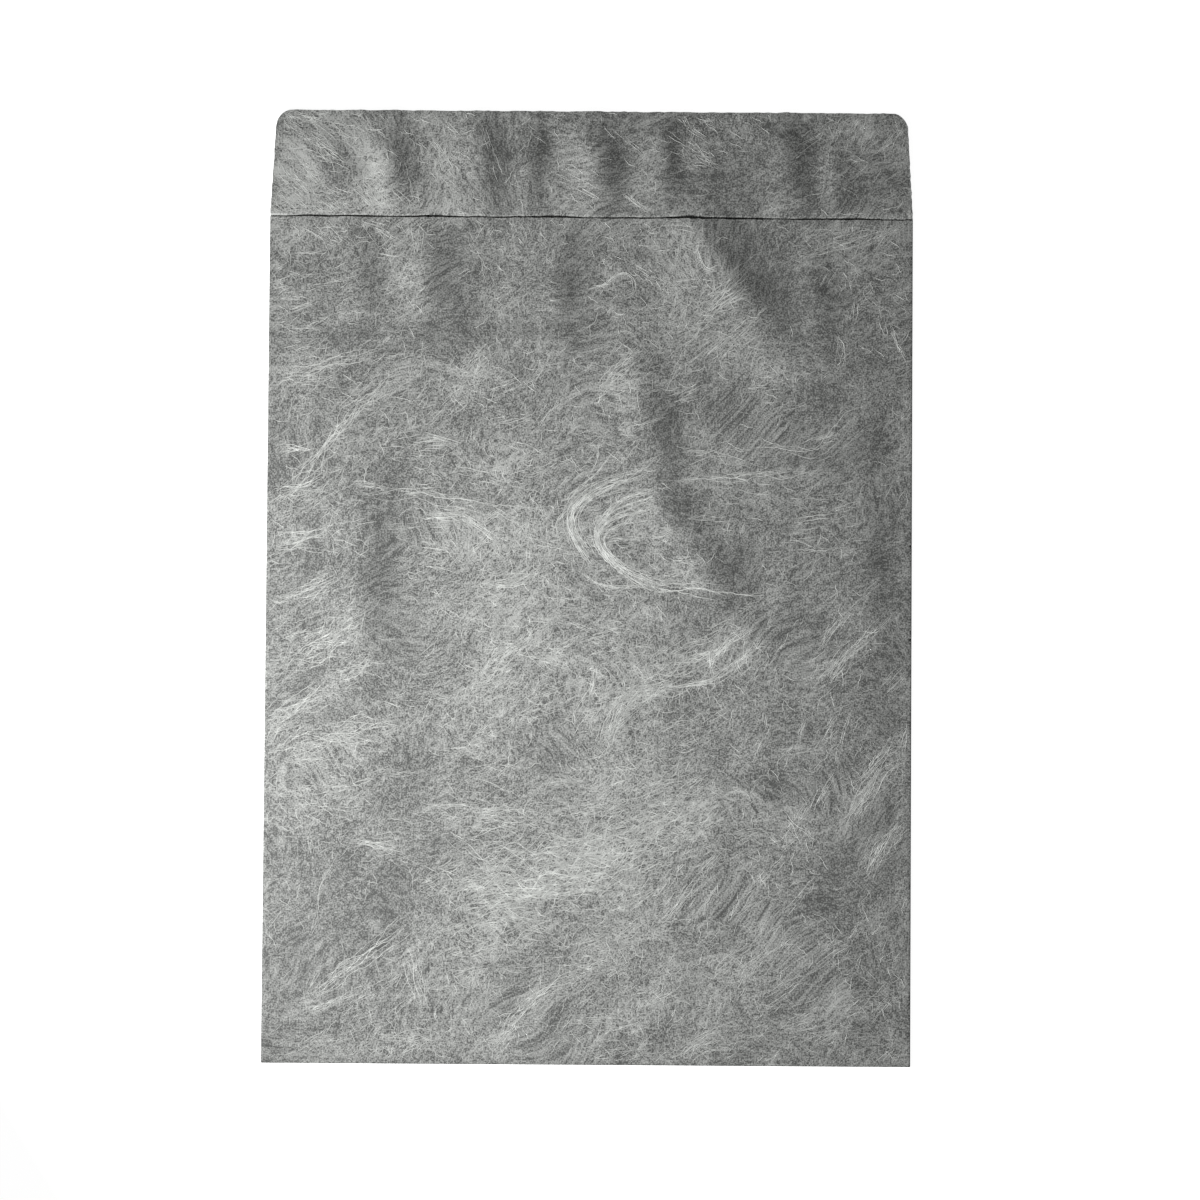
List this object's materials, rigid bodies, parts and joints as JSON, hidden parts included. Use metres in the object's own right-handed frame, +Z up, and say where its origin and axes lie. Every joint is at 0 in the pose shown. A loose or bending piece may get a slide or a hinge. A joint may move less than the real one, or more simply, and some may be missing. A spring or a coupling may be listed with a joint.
{
  "type": "spunbond envelope",
  "caption": "Flat open-end mailing envelope of grey spunbond sheet, one folded and glued piece with an open mouth and an unfolded flap.",
  "frame": {"origin": "middle of the envelope's footprint, flap included, on the plane it lies on", "axes": "+X across the pocket, +Y from the bottom fold towards the open flap, +Z up, away from the far panel"},
  "size_m": [0.2414, 0.358, 0.0035],
  "materials": {
    "spunbond_sheet": "mid grey spunbond sheet with a felt of fine pale crimped fibres, dull with a slight sheen"
  },
  "bodies": {
    "root": {"envelope": "spunbond_sheet"}
  },
  "joints": []
}
